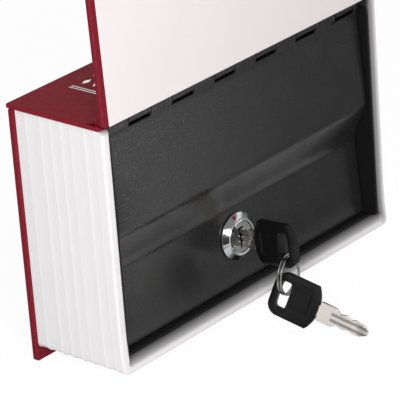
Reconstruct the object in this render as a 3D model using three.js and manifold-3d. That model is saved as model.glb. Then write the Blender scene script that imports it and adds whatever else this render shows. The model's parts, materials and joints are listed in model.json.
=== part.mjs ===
// Book diversion safe: a hollow book with a steel box, a keyed lid and two keys on a ring.
// Millimetres, +Z up. The book stands on its fore-edge with the spine on top.
// X runs along the spine, the lid faces -Y, and the back cover is on the +Y side.
// The origin is the middle of the back cover board's lower edge, on the floor.

import * as THREE from 'three';
import { mergeVertices } from 'three/addons/utils/BufferGeometryUtils.js';
import Module from 'manifold-3d';

const wasm = await Module();
wasm.setup();

// Cover boards
const board_length = 180;
const board_thickness = 3;
const cover_thickness = 2.4;
const book_height = 115.5;
const spine_thickness = 1.9;
const spine_skive = 3.6;
const spine_nose_radius = 0.2;
const spine_edge_radius = 0.8;
const board_corner_radius = 0.8;
const end_overhang = 1.2;
const fore_edge_overhang = 5.6;
const lining_thickness = 0.3;
const lining_margin = 3;
const cover_stand_off = 3;
const cover_hinge_slack = 0.15;
const cover_hinge_gap = 0.4;
const cover_lean_deg = 2;

// Page block: three moulded walls ribbed like page edges
const page_depth = 47.2;
const page_end_wall = 4.3;
const page_fore_wall = 4.3;
const page_corner_radius = 3;
const page_crest_shares = [0.117, 0.286, 0.4, 0.519, 0.63, 0.794, 0.909];
const page_rib_depth = 0.55;
const page_flare = 1.3;
const page_flare_height = 20;
const page_rim_round = 1;
const page_fore_bevel_depth = 4.6;
const page_fore_bevel_drop = 1.5;
const page_tip_radius = 3;
const page_rib_steps = 5;
const page_wall_steps = 8;

// Steel box
const sheet = 1;
const box_rim_step = 0.8;
const box_fore_rim_step = 4.4;
const box_top_rim_step = 8.6;
const box_top_drop = 4.3;
const box_corner_radius = 3.5;

// Lid hinge
const pin_radius = 1;
const pin_clearance = 0.3;
const knuckle_wall = 0.9;
const pin_drop = 3.1;
const pin_recess = 6.4;
const leaf_depth = 14;
const knuckle_count = 6;
const knuckle_width = 13.2;
const knuckle_left_inset = 14.4;
const knuckle_right_inset = 3;
const knuckle_side_gap = 0.35;
const knuckle_slot = 1.1;

// Lid
const lid_sheet = 1.2;
const lid_side_gap = 0.9;
const lid_swing_clearance = 0.4;
const lid_step_depth = 8.9;
const lid_bend_height = 54;
const lid_crease_height = 36;
const lid_bend_radius = 9;
const lid_crease_radius = 3;
const lid_ajar_deg = 4.2;

// Lock
const lock_x = -2.5;
const lock_height = 33;
const bezel_radius = 10.5;
const bezel_foot = 0.9;
const bezel_lip_radius = 8.1;
const bezel_lip_width = 0.9;
const bezel_height = 3.1;
const bezel_dish = 0.2;
const barrel_radius = 8;
const barrel_back = 20.4;
const turning_gap = 0.3;
const plug_radius = 5.6;
const plug_step_radius = 6.6;
const plug_step_depth = 2.2;
const plug_back = 21.4;
const tail_side = 5;
const nut_across_flats = 23;
const nut_thickness = 3.4;
const cam_thickness = 2;
const cam_reach = 17.4;
const cam_width = 10;
const washer_thickness = 0.8;
const washer_radius = 3.9;
const screw_radius = 1.3;
const screw_grip = 2.4;
const screw_head_radius = 3.3;
const screw_head_height = 2.2;
const screw_head_chamfer = 0.6;
const screw_recess_radius = 1.4;
const screw_recess_depth = 1.1;

// Strike that the cam hooks behind
const strike_length = 26;
const strike_height = 8.5;
const strike_foot = 9;
const strike_sheet = 1.2;
const strike_gap = 0.6;

// Keys: a milled steel blade in a moulded bow, whose blade end is an arc
const blade_thickness = 2;
const blade_height = 8.4;
const blade_length = 23.5;
const blade_neck = 7.6;
const blade_tang = 7;
const blade_tip = 2.2;
const blade_nose_height = 2.2;
const blade_tang_height = 4.8;
const bitting_depth_shares = [0.85, 0.55, 0.9, 0.6, 0.8];
const bitting_depth = 1.9;
const bitting_start = 8.6;
const bitting_pitch = 2.6;
const bitting_flat_share = 0.35;
const groove_start = 6.2;
const groove_depth = 0.45;
const groove_width = 1.2;
const groove_offset = 1.3;
const key_clearance = 0.4;
const bow_length = 21.9;
const bow_width = 19.2;
const bow_arc_rise = 3;
const bow_corner_radius = 5.2;
const bow_thickness = 4.2;
const bow_slot_width = 5.2;
const bow_slot_length = 12.2;
const bow_slot_inset = 5.6;
const bow_slot_radius = 1.5;
const bow_panel_width = 9.4;
const bow_panel_length = 7.4;
const bow_panel_inset = 14;
const bow_panel_depth = 0.35;

// Split ring and the second key, as they hang in the photograph
const wire_radius = 0.55;
const wire_gap = 0.46;
const ring_radius = 8.6;
const ring_yaw_deg = 11.4;
const ring_seat_gap = 0.85;
const ring_crossing_deg = 60;
const ring_end_deg = 42;
const key_2_pitch_deg = 13.4;
const key_2_roll_deg = 19.5;
const key_2_yaw_deg = -168;
const key_2_ring_deg = 37.3;
const key_2_slot_shift = 0.4;

// Shared clearances and steps
const seat_gap = 0.3;
const overrun = 2;
const weld_distance = 1e-4;
const round_steps = 48;
const small_round_steps = 32;
const arc_steps = 5;
const ring_steps = 56;
const wire_arc_steps = 3;
const ring_gap_steps = 672;

const deg = THREE.MathUtils.degToRad;

// Planes that several pieces share
const board_front = -board_thickness / 2;
const rim_y = board_front - page_depth;
const spine_under = book_height - spine_thickness;
const page_half = board_length / 2 - end_overhang;
const page_top = spine_under - seat_gap;
const page_foot = fore_edge_overhang;
const box_half = page_half - page_end_wall - seat_gap;
const box_foot = page_foot + page_fore_wall + seat_gap;
const box_top = spine_under - box_top_drop;
const cover_hinge_y = rim_y - cover_stand_off;
const cover_hinge_z = book_height;
const pin_y = rim_y + pin_recess;
const pin_z = spine_under - pin_drop;
const knuckle_bore = pin_radius + pin_clearance;
const knuckle_radius = knuckle_bore + knuckle_wall;
const lid_half = box_half - sheet - lid_side_gap;
const knuckle_run = 2 * lid_half - knuckle_left_inset - knuckle_right_inset - knuckle_width;
const knuckle_pitch = knuckle_run / (knuckle_count - 1);
const lid_face = lid_sheet / 2;
const lid_panel_face = lid_face - lid_step_depth;
const lid_top_drop = knuckle_radius + knuckle_slot;
const lid_sweep_radius = pin_z - box_foot - sheet - lid_swing_clearance;
const lid_foot_drop = Math.sqrt(lid_sweep_radius ** 2 - (lid_sheet - lid_panel_face) ** 2);
const lock_drop = pin_z - lock_height;
const plug_front = bezel_height - bezel_dish;
const cam_front = plug_back + seat_gap;
const tail_back = cam_front + cam_thickness;
const washer_front = tail_back + seat_gap;
const head_front = washer_front + washer_thickness + seat_gap;
const bow_front = bezel_height + blade_neck;
const slot_y = -bow_length + bow_slot_inset;

// Materials with the colours seen in the photograph
const cloth = material(0x81252f, 0.55, 0);
const cloth_spine = material(0x702830, 0.55, 0);
const endpaper = material(0xf3e6ea, 0.8, 0);
const page_plastic = material(0xe8e6e8, 0.45, 0);
const black_paint = material(0x343536, 0.38, 0.35);
const box_paint = material(0x1f2021, 0.45, 0.3);
const chrome = material(0xc9cbcd, 0.18, 1);
const zinc = material(0xa7a9a8, 0.35, 1);
const key_steel = material(0xcfc8be, 0.3, 1);
const key_plastic = material(0x17181a, 0.4, 0);

function material(color, roughness, metalness) {
  return new THREE.MeshStandardMaterial({ color, roughness, metalness });
}

// Turns a closed geometry into a solid whose faces point out
function solid(geometry) {
  const bare = geometry.index ? geometry.toNonIndexed() : geometry.clone();
  bare.deleteAttribute('normal');
  bare.deleteAttribute('uv');
  const merged = mergeVertices(bare, weld_distance);
  const points = merged.attributes.position.array;
  const corners = Uint32Array.from(merged.index.array);
  if (signedVolume(points, corners) < 0) {
    for (let i = 0; i < corners.length; i += 3) {
      [corners[i], corners[i + 1]] = [corners[i + 1], corners[i]];
    }
  }
  return new wasm.Manifold(new wasm.Mesh({
    numProp: 3,
    vertProperties: Float32Array.from(points),
    triVerts: corners,
  }));
}

function signedVolume(points, corners) {
  const a = new THREE.Vector3();
  const b = new THREE.Vector3();
  const c = new THREE.Vector3();
  let total = 0;
  for (let i = 0; i < corners.length; i += 3) {
    a.fromArray(points, 3 * corners[i]);
    b.fromArray(points, 3 * corners[i + 1]);
    c.fromArray(points, 3 * corners[i + 2]);
    total += a.dot(b.cross(c));
  }
  return total;
}

// Adds a solid to a group as a named mesh
function place(group, name, body, look) {
  const made = body.getMesh();
  const geometry = new THREE.BufferGeometry();
  const points = new THREE.BufferAttribute(Float32Array.from(made.vertProperties), 3);
  geometry.setAttribute('position', points);
  geometry.setIndex(new THREE.BufferAttribute(Uint32Array.from(made.triVerts), 1));
  geometry.computeVertexNormals();
  const mesh = new THREE.Mesh(geometry, look);
  mesh.name = name;
  group.add(mesh);
  return mesh;
}

// A block between two corners
function block(x0, x1, y0, y1, z0, z1) {
  const geometry = new THREE.BoxGeometry(x1 - x0, y1 - y0, z1 - z0);
  geometry.translate((x0 + x1) / 2, (y0 + y1) / 2, (z0 + z1) / 2);
  return solid(geometry);
}

const alongX = new THREE.Matrix4().makeBasis(
  new THREE.Vector3(0, 1, 0),
  new THREE.Vector3(0, 0, 1),
  new THREE.Vector3(1, 0, 0),
);
const outward = new THREE.Matrix4().makeBasis(
  new THREE.Vector3(1, 0, 0),
  new THREE.Vector3(0, 0, 1),
  new THREE.Vector3(0, -1, 0),
);

// A section in Y and Z, drawn out along X from x0 to x1
function extrudeX(shape, x0, x1) {
  const geometry = new THREE.ExtrudeGeometry(shape, {
    depth: x1 - x0, bevelEnabled: false, curveSegments: arc_steps,
  });
  geometry.applyMatrix4(alongX);
  geometry.translate(x0, 0, 0);
  return solid(geometry);
}

// A section in X and Z, drawn out towards the viewer from height h0 to h1
function extrudeOut(shape, h0, h1, curveSegments = arc_steps) {
  const geometry = new THREE.ExtrudeGeometry(shape, {
    depth: h1 - h0, bevelEnabled: false, curveSegments,
  });
  geometry.applyMatrix4(outward);
  geometry.translate(0, -h0, 0);
  return solid(geometry);
}

// A closed profile of radius and height, turned about the outward axis
function turned(profile, steps = round_steps) {
  const points = profile.map(([r, h]) => new THREE.Vector2(r, h));
  const geometry = new THREE.LatheGeometry([...points, points[0].clone()], steps);
  geometry.rotateX(Math.PI);
  return solid(geometry);
}

// A round bar along X
function barX(radius, x0, x1, y, z, steps = small_round_steps) {
  const geometry = new THREE.CylinderGeometry(radius, radius, x1 - x0, steps);
  geometry.rotateZ(Math.PI / 2);
  geometry.translate((x0 + x1) / 2, y, z);
  return solid(geometry);
}

function polygon(points) {
  return new THREE.Shape(points.map(([u, v]) => new THREE.Vector2(u, v)));
}

// A polygon whose corners are rounded; each point is u, v and its corner radius
function roundedPolygon(points) {
  const shape = new THREE.Shape();
  const at = (i) => new THREE.Vector2(...points[(i + points.length) % points.length]);
  points.forEach((point, i) => {
    const corner = at(i);
    const before = at(i - 1).sub(corner);
    const after = at(i + 1).sub(corner);
    const half = Math.acos(before.dot(after) / before.length() / after.length()) / 2;
    const reach = (point[2] ?? 0) / Math.tan(half);
    const start = corner.clone().add(before.setLength(reach));
    const end = corner.clone().add(after.setLength(reach));
    if (i === 0) {
      shape.moveTo(start.x, start.y);
    } else {
      shape.lineTo(start.x, start.y);
    }
    if (reach > 0) {
      shape.quadraticCurveTo(corner.x, corner.y, end.x, end.y);
    }
  });
  shape.closePath();
  return shape;
}

function unite(bodies) {
  return bodies.reduce((all, body) => all.add(body));
}

// Back cover board: it stands on the floor and carries the page block
function backCoverBoard() {
  const half = board_length / 2;
  const r = board_corner_radius;
  return extrudeOut(
    roundedPolygon([[-half, 0, r], [half, 0, r], [half, spine_under], [-half, spine_under]]),
    -board_thickness / 2,
    board_thickness / 2,
  );
}

// Spine board: it lies over the page block and reaches past the rim to the cover's hinge
// Its front edge is skived, so it slants back and down behind the cover
function spineBoard() {
  const front = cover_hinge_y + cover_hinge_slack;
  const r = spine_edge_radius;
  const section = roundedPolygon([
    [front + spine_skive, spine_under],
    [board_thickness / 2, spine_under],
    [board_thickness / 2, book_height, r],
    [front, book_height, spine_nose_radius],
  ]);
  return extrudeX(section, -board_length / 2, board_length / 2);
}

// Front cover board, in a group at the cover's hinge line and drawn as it stands open
function frontCoverBoard() {
  const half = board_length / 2;
  const r = board_corner_radius;
  const inner = cover_hinge_slack + lining_thickness;
  return extrudeOut(
    roundedPolygon([
      [-half, cover_hinge_gap],
      [half, cover_hinge_gap],
      [half, book_height, r],
      [-half, book_height, r],
    ]),
    -inner - cover_thickness,
    -inner,
  );
}

// Front cover lining: the pale endpaper glued inside the front cover
function frontCoverLining() {
  const half = board_length / 2 - lining_margin;
  return block(
    -half, half,
    cover_hinge_slack, cover_hinge_slack + lining_thickness,
    cover_hinge_gap, book_height - lining_margin,
  );
}

// Pairs of depth and inset along the outer face: hollows between sharp crests, then a round rim
function ribStations() {
  const r = page_rim_round;
  const crests = [0, ...page_crest_shares.map((share) => share * page_depth), page_depth - r];
  const stations = [];
  for (let i = 1; i < crests.length; i += 1) {
    for (let k = 0; k < page_rib_steps; k += 1) {
      const t = k / page_rib_steps;
      const depth = THREE.MathUtils.lerp(crests[i - 1], crests[i], t);
      stations.push([depth, page_rib_depth * 4 * t * (1 - t)]);
    }
  }
  for (let k = 0; k <= arc_steps; k += 1) {
    const angle = k / arc_steps * Math.PI / 2;
    stations.push([page_depth - r + r * Math.sin(angle), r - r * Math.cos(angle)]);
  }
  return stations;
}

// How far the rim stands towards the viewer, for a height above the floor
function rimFlare(height) {
  const below = Math.max(page_foot + page_flare_height - height, 0) / page_flare_height;
  return page_flare * below ** 2;
}

// Page block: left end, fore-edge and right end walls in one moulding
function pageBlock() {
  const shell = layered(ribStations(), pageOutline(), ([depth, inset], [x, z, nx, nz]) => {
    const reach = depth * (1 + rimFlare(z) / page_depth);
    return [x - nx * inset, board_front - reach, z - nz * inset];
  });
  const inside = page_half - page_end_wall;
  const floor = page_foot + page_fore_wall;
  const front = rim_y - page_flare - overrun;
  const hollow = block(
    -inside, inside, front, board_front + overrun, floor, page_top + overrun,
  );
  const bevel = extrudeX(polygon([
    [rim_y + page_fore_bevel_depth, floor],
    [rim_y + page_fore_bevel_depth, floor + overrun],
    [front, floor + overrun],
    [front, floor - page_fore_bevel_drop * (1 + (page_flare + overrun) / page_fore_bevel_depth)],
  ]), -inside, inside);
  const tips = roundedWallEnds();
  return shell.subtract(hollow).subtract(bevel).subtract(tips);
}

// Closed outline of the page block seen from the front, with outward normals
function pageOutline() {
  const points = [];
  const r = page_corner_radius;
  for (let i = 0; i <= page_wall_steps; i += 1) {
    const z = THREE.MathUtils.lerp(page_top, page_foot + r, i / page_wall_steps);
    points.push([-page_half, z, -1, 0]);
  }
  for (const [side, from] of [[-1, 0], [1, 1]]) {
    for (let i = 1; i < arc_steps; i += 1) {
      const share = from === 0 ? i / arc_steps : 1 - i / arc_steps;
      const angle = share * Math.PI / 2;
      const nx = side * Math.cos(angle);
      const nz = -Math.sin(angle);
      points.push([
        side * (page_half - r) + r * nx, page_foot + r + r * nz, nx, nz,
      ]);
    }
    if (from === 0) {
      points.push([-(page_half - r), page_foot, 0, -1]);
      points.push([page_half - r, page_foot, 0, -1]);
    }
  }
  for (let i = 0; i <= page_wall_steps; i += 1) {
    const z = THREE.MathUtils.lerp(page_foot + r, page_top, i / page_wall_steps);
    points.push([page_half, z, 1, 0]);
  }
  return points;
}

// A solid from an outline repeated at each station, closed by a flat face at each end
function layered(stations, outline, at) {
  const count = outline.length;
  const layers = stations.length - 1;
  const points = [];
  stations.forEach((station) => {
    outline.forEach((entry) => points.push(...at(station, entry)));
  });
  const corners = [];
  for (let layer = 0; layer < layers; layer += 1) {
    for (let i = 0; i < count; i += 1) {
      const a = layer * count + i;
      const b = layer * count + (i + 1) % count;
      corners.push(a, b, a + count, b, b + count, a + count);
    }
  }
  const flat = outline.map(([x, z]) => new THREE.Vector2(x, z));
  const last = layers * count;
  for (const [a, b, c] of THREE.ShapeUtils.triangulateShape(flat, [])) {
    corners.push(b, a, c);
    corners.push(last + a, last + b, last + c);
  }
  const geometry = new THREE.BufferGeometry();
  geometry.setAttribute('position', new THREE.Float32BufferAttribute(points, 3));
  geometry.setIndex(corners);
  return solid(geometry);
}

// Cuts that round the front corner of each end wall under the spine
function roundedWallEnds() {
  const r = page_tip_radius;
  const tip = new THREE.Shape();
  tip.moveTo(rim_y + r, page_top + overrun);
  tip.lineTo(rim_y + r, page_top);
  tip.absarc(rim_y + r, page_top - r, r, Math.PI / 2, Math.PI, false);
  tip.lineTo(rim_y - overrun, page_top - r);
  tip.lineTo(rim_y - overrun, page_top + overrun);
  tip.closePath();
  return extrudeX(tip, -page_half - overrun, page_half + overrun);
}

// Safe box: floor, top, fore-edge and two end walls of painted steel sheet
function safeBox() {
  const front = rim_y + box_rim_step;
  const r = box_corner_radius;
  const wall = roundedPolygon([
    [board_front, box_foot],
    [board_front, box_top],
    [front, box_top, r],
    [front, box_foot, r],
  ]);
  const inner = box_half - sheet;
  return unite([
    extrudeX(wall, -box_half, -inner),
    extrudeX(wall, inner, box_half),
    block(-box_half, box_half, board_front - sheet, board_front, box_foot, box_top),
    block(-box_half, box_half, rim_y + box_fore_rim_step, board_front, box_foot, box_foot + sheet),
    block(-box_half, box_half, rim_y + box_top_rim_step, board_front, box_top - sheet, box_top),
  ]);
}

// Left end of each of the fixed knuckles along the lid
function knuckleStarts() {
  const starts = [];
  for (let i = 0; i < knuckle_count; i += 1) {
    starts.push(-lid_half + knuckle_left_inset + i * knuckle_pitch);
  }
  return starts;
}

// Hinge leaf: strip on top of the box with six curled knuckles
function hingeLeaf() {
  const half = lid_half;
  const back = rim_y + box_top_rim_step + seat_gap;
  const strip = block(-half, half, back, back + leaf_depth, box_top, box_top + sheet);
  const knuckles = knuckleStarts().map((start) => barX(
    knuckle_radius, start, start + knuckle_width, pin_y, pin_z,
  ));
  const tabs = knuckleStarts().map((start) => block(
    start, start + knuckle_width, pin_y, back + overrun, box_top, box_top + sheet,
  ));
  const bore = barX(knuckle_bore, -half - overrun, half + overrun, pin_y, pin_z);
  return unite([strip, ...tabs, ...knuckles]).subtract(bore);
}

// Hinge pin through all the knuckles
function hingePin() {
  return barX(pin_radius, -lid_half, lid_half, pin_y, pin_z);
}

// Lid sheet in section: outward distance from the pin's plane, drop below the pin
function lidSection() {
  const top = lid_top_drop;
  const mid = pin_z - box_foot - lid_bend_height;
  const crease = pin_z - box_foot - lid_crease_height;
  const outer = [
    [-lid_face, -top],
    [-lid_face, -mid, lid_bend_radius],
    [-lid_panel_face, -crease, lid_crease_radius],
    [-lid_panel_face, -lid_foot_drop],
  ];
  const inner = [...outer].reverse().map(([y, z, r]) => [y + lid_sheet, z, r]);
  return roundedPolygon([...outer, ...inner]);
}

// Lid panel: one pressed sheet, with a curled tongue between each two fixed knuckles
function lidPanel() {
  const half = lid_half;
  const panel = extrudeX(lidSection(), -half, half);
  const ends = [-half, ...knuckleStarts().flatMap((x) => [x, x + knuckle_width]), half];
  const tongues = [];
  for (let i = 0; i < ends.length; i += 2) {
    const x0 = ends[i] + (i === 0 ? 0 : knuckle_side_gap);
    const x1 = ends[i + 1] - (i === ends.length - 2 ? 0 : knuckle_side_gap);
    tongues.push(barX(knuckle_radius, x0, x1, 0, 0));
    tongues.push(block(x0, x1, -lid_face, lid_face, -lid_top_drop - sheet, 0));
  }
  const bore = barX(knuckle_bore, -half - overrun, half + overrun, 0, 0);
  const hole = extrudeOut(
    circle(barrel_radius + seat_gap), lid_panel_face - lid_sheet - overrun, overrun, small_round_steps,
  ).translate(lock_x, 0, -lock_drop);
  return unite([panel, ...tongues]).subtract(bore).subtract(hole);
}

function circle(radius) {
  const shape = new THREE.Shape();
  shape.absarc(0, 0, radius, 0, 2 * Math.PI, false);
  return shape;
}

// Lock housing: conical bezel with a raised lip, and the barrel behind the lid
function lockHousing() {
  const bore = plug_radius + turning_gap;
  const step = plug_step_radius + turning_gap;
  const shelf = plug_front - plug_step_depth - turning_gap;
  return turned([
    [bore, -barrel_back],
    [barrel_radius, -barrel_back],
    [barrel_radius, seat_gap],
    [bezel_radius, seat_gap],
    [bezel_radius, bezel_foot],
    [bezel_lip_radius, bezel_height - bezel_lip_width / 2],
    [bezel_lip_radius - bezel_lip_width / 4, bezel_height],
    [bezel_lip_radius - bezel_lip_width, bezel_height],
    [step, plug_front],
    [step, shelf],
    [bore, shelf],
  ]);
}

// Hexagon nut that clamps the lid between itself and the bezel
function lockNut() {
  const corner = nut_across_flats / Math.sqrt(3);
  const points = [];
  for (let i = 0; i < 6; i += 1) {
    const angle = (i + 0.5) * Math.PI / 3;
    points.push([corner * Math.cos(angle), corner * Math.sin(angle)]);
  }
  const shape = polygon(points);
  const hole = new THREE.Path();
  hole.absarc(0, 0, barrel_radius + seat_gap, 0, 2 * Math.PI, true);
  shape.holes.push(hole);
  const face = -lid_sheet - seat_gap;
  return extrudeOut(shape, face - nut_thickness, face, small_round_steps);
}

// Plug: turns in the housing, slotted for the key, with a square tail for the cam
function lockPlug() {
  const body = turned([
    [0, -plug_back],
    [plug_radius, -plug_back],
    [plug_radius, plug_front - plug_step_depth],
    [plug_step_radius, plug_front - plug_step_depth],
    [plug_step_radius, plug_front],
    [0, plug_front],
  ]);
  const half = tail_side / 2;
  const tail = block(-half, half, plug_back - seat_gap, tail_back, -half, half);
  const high = blade_height / 2 + key_clearance;
  const wide = blade_thickness / 2 + key_clearance;
  const reach = blade_length - bow_front + key_clearance;
  const keyway = block(-wide, wide, -plug_front - overrun, reach, -high, high);
  const thread = turned([
    [0, -tail_back - overrun],
    [screw_radius + seat_gap, -tail_back - overrun],
    [screw_radius + seat_gap, -tail_back + screw_grip + seat_gap],
    [0, -tail_back + screw_grip + seat_gap],
  ], small_round_steps);
  return body.add(tail).subtract(keyway).subtract(thread);
}

// Cam: flat lever on the plug's tail, drawn pointing to -X
function lockCam() {
  const half = cam_width / 2;
  const shape = new THREE.Shape();
  shape.moveTo(0, half);
  shape.lineTo(-cam_reach, half);
  shape.lineTo(-cam_reach, -half);
  shape.lineTo(0, -half);
  shape.absarc(0, 0, half, -Math.PI / 2, Math.PI / 2, false);
  shape.closePath();
  const side = tail_side / 2 + seat_gap;
  const hole = new THREE.Path();
  hole.setFromPoints(
    [[-side, -side], [-side, side], [side, side], [side, -side], [-side, -side]]
      .map(([u, v]) => new THREE.Vector2(u, v)),
  );
  shape.holes.push(hole);
  return extrudeOut(shape, -tail_back, -cam_front, small_round_steps);
}

// Washer between the cam and the screw's head
function camWasher() {
  const back = washer_front + washer_thickness;
  return turned([
    [screw_radius + seat_gap, -back],
    [washer_radius, -back],
    [washer_radius, -washer_front],
    [screw_radius + seat_gap, -washer_front],
  ], small_round_steps);
}

// Screw that holds the cam on the tail, with a cross recess in its head
function camScrew() {
  const far = head_front + screw_head_height;
  const body = turned([
    [0, -far],
    [screw_head_radius - screw_head_chamfer, -far],
    [screw_head_radius, -far + screw_head_chamfer],
    [screw_head_radius, -head_front],
    [screw_radius, -head_front],
    [screw_radius, -tail_back + screw_grip],
    [0, -tail_back + screw_grip],
  ], small_round_steps);
  const arm = screw_recess_radius * 2;
  const blade = screw_radius / 3;
  const cuts = [
    block(-arm, arm, far - screw_recess_depth, far + overrun, -blade, blade),
    block(-blade, blade, far - screw_recess_depth, far + overrun, -arm, arm),
  ];
  return body.subtract(unite(cuts));
}

// Strike: angle bracket on the fore-edge wall of the box
function strike() {
  const hook = pin_y - lid_panel_face + cam_front - strike_gap;
  const foot = box_foot + sheet;
  const section = polygon([
    [hook, foot],
    [hook, foot + strike_height],
    [hook - strike_sheet, foot + strike_height],
    [hook - strike_sheet, foot + strike_sheet],
    [hook - strike_foot, foot + strike_sheet],
    [hook - strike_foot, foot],
  ]);
  return extrudeX(section, lock_x - strike_length / 2, lock_x + strike_length / 2);
}

// Outline of one cut edge of the blade, from the shoulder towards the tip
function bittingPoints(side) {
  const half = blade_height / 2;
  const flat = bitting_pitch * bitting_flat_share / 2;
  const points = [[bitting_start - bitting_pitch / 2, side * half]];
  bitting_depth_shares.forEach((share, i) => {
    const mid = bitting_start + (i + 0.5) * bitting_pitch;
    const level = side * (half - bitting_depth * share);
    points.push([mid - flat, level], [mid + flat, level]);
  });
  return points;
}

// Key blade: milled steel with cuts on both edges; the bow's arc is at zero and the tip at +Y
function keyBlade() {
  const half = blade_height / 2;
  const nose = blade_nose_height / 2;
  const tang = blade_tang_height / 2;
  const rim = half - bitting_depth;
  const shape = polygon([
    [-blade_tang, -tang],
    [seat_gap, -tang],
    [seat_gap, -half],
    ...bittingPoints(-1),
    [blade_length - blade_tip, -rim],
    [blade_length, -nose],
    [blade_length, nose],
    [blade_length - blade_tip, rim],
    ...bittingPoints(1).reverse(),
    [seat_gap, half],
    [seat_gap, tang],
    [-blade_tang, tang],
  ]);
  const body = extrudeX(shape, -blade_thickness / 2, blade_thickness / 2);
  const cuts = [];
  for (const side of [1, -1]) {
    const face = side * blade_thickness / 2;
    const deep = face - side * groove_depth;
    const far = face + side * overrun;
    for (const offset of [groove_offset, -groove_offset]) {
      cuts.push(block(
        Math.min(deep, far), Math.max(deep, far),
        groove_start, blade_length + overrun,
        offset - groove_width / 2, offset + groove_width / 2,
      ));
    }
  }
  return body.subtract(unite(cuts));
}

// Outline of the bow: an arc at the blade end, straight sides and a rounded slot end
function bowOutline() {
  const half = bow_width / 2;
  const r = bow_corner_radius;
  const arc = (half ** 2 + bow_arc_rise ** 2) / (2 * bow_arc_rise);
  const swing = Math.asin(half / arc);
  const shape = new THREE.Shape();
  shape.absarc(-arc, 0, arc, -swing, swing, false);
  shape.absarc(-bow_length + r, half - r, r, Math.PI / 2, Math.PI, false);
  shape.absarc(-bow_length + r, -half + r, r, Math.PI, 3 * Math.PI / 2, false);
  shape.closePath();
  return shape;
}

// Key bow: moulded black plastic with a slot for the ring and a plain sunk panel
function keyBow() {
  const thick = bow_thickness / 2;
  const body = extrudeX(bowOutline(), -thick, thick);
  const tang = blade_tang_height / 2 + seat_gap;
  const side = blade_thickness / 2 + seat_gap;
  const pocket = block(-side, side, -blade_tang - seat_gap, overrun, -tang, tang);
  const r = bow_slot_radius;
  const half = bow_slot_length / 2;
  const near = slot_y + bow_slot_width / 2;
  const far = slot_y - bow_slot_width / 2;
  const slot = extrudeX(
    roundedPolygon([[far, -half, r], [near, -half, r], [near, half, r], [far, half, r]]),
    -thick - overrun,
    thick + overrun,
  );
  const panel_y = -bow_length + bow_panel_inset;
  const panels = [1, -1].map((face) => block(
    Math.min(face * (thick - bow_panel_depth), face * (thick + overrun)),
    Math.max(face * (thick - bow_panel_depth), face * (thick + overrun)),
    panel_y - bow_panel_length / 2, panel_y + bow_panel_length / 2,
    -bow_panel_width / 2, bow_panel_width / 2,
  ));
  return body.subtract(pocket).subtract(slot).subtract(unite(panels));
}

// Path of the split ring: two flat turns side by side with one crossing
class SplitRingPath extends THREE.Curve {
  getPoint(t, target = new THREE.Vector3()) {
    const sweep = 720 - 2 * ring_end_deg;
    const angle = ring_end_deg + sweep * t;
    const from = 360 - ring_crossing_deg / 2;
    const rise = THREE.MathUtils.smoothstep(angle, from, from + ring_crossing_deg);
    const pitch = 2 * wire_radius + wire_gap;
    return target.set(
      ring_radius * Math.cos(deg(angle)),
      (rise - 0.5) * pitch,
      ring_radius * Math.sin(deg(angle)),
    );
  }
}

// Split ring: one wire of round section, wound in two turns
function splitRing() {
  const path = new SplitRingPath();
  const geometry = new THREE.ExtrudeGeometry(circle(wire_radius), {
    steps: ring_steps, curveSegments: wire_arc_steps, extrudePath: path, bevelEnabled: false,
  });
  console.log(`split ring: least gap to itself ${ringGap(path).toFixed(2)} mm`);
  return solid(geometry);
}

// Least distance between the surfaces of the ring's two turns, on points along the wire
function ringGap(path) {
  const points = path.getPoints(ring_gap_steps);
  const apart = Math.round(points.length / 8);
  let least = Infinity;
  for (let i = 0; i < points.length; i += 1) {
    for (let j = i + apart; j < points.length; j += 1) {
      least = Math.min(least, points[i].distanceTo(points[j]));
    }
  }
  return least - 2 * wire_radius;
}

// The whole book safe
const bookSafe = new THREE.Group();
place(bookSafe, 'back_cover_board', backCoverBoard(), cloth);
place(bookSafe, 'spine_board', spineBoard(), cloth_spine);
place(bookSafe, 'page_block', pageBlock(), page_plastic);
place(bookSafe, 'safe_box', safeBox(), box_paint);
place(bookSafe, 'hinge_leaf', hingeLeaf(), black_paint);
place(bookSafe, 'hinge_pin', hingePin(), zinc);
place(bookSafe, 'strike', strike(), box_paint);

// The front cover stands open past a straight angle
const cover = new THREE.Group();
cover.position.set(0, cover_hinge_y, cover_hinge_z);
cover.rotation.x = -deg(cover_lean_deg);
bookSafe.add(cover);
place(cover, 'front_cover_board', frontCoverBoard(), cloth);
place(cover, 'front_cover_lining', frontCoverLining(), endpaper);

// The lid hangs from the pin, a little ajar
const lid = new THREE.Group();
lid.position.set(0, pin_y, pin_z);
lid.rotation.x = -deg(lid_ajar_deg);
bookSafe.add(lid);
place(lid, 'lid_panel', lidPanel(), black_paint);

// The lock sits square to the lid's lower panel
const lock = new THREE.Group();
lock.position.set(lock_x, -lid_panel_face, -lock_drop);
lid.add(lock);
place(lock, 'lock_housing', lockHousing(), chrome);
place(lock, 'lock_nut', lockNut(), zinc);

// Plug, cam and first key turn together
const turn = new THREE.Group();
lock.add(turn);
place(turn, 'lock_plug', lockPlug(), chrome);
place(turn, 'lock_cam', lockCam(), zinc);
place(turn, 'cam_washer', camWasher(), zinc);
place(turn, 'cam_screw', camScrew(), zinc);

const key_1 = new THREE.Group();
key_1.position.y = -bow_front;
turn.add(key_1);
place(key_1, 'key_1_blade', keyBlade(), key_steel);
place(key_1, 'key_1_bow', keyBow(), key_plastic);

// The ring hangs in the lower end of the first key's slot
bookSafe.updateMatrixWorld(true);
const ring_top = new THREE.Vector3(0, slot_y, -bow_slot_length / 2 + wire_radius + ring_seat_gap)
  .applyMatrix4(key_1.matrixWorld);
const ring = new THREE.Group();
ring.position.copy(ring_top);
ring.position.z -= ring_radius;
ring.rotation.z = deg(ring_yaw_deg);
bookSafe.add(ring);
place(ring, 'split_ring', splitRing(), key_steel);

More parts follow.
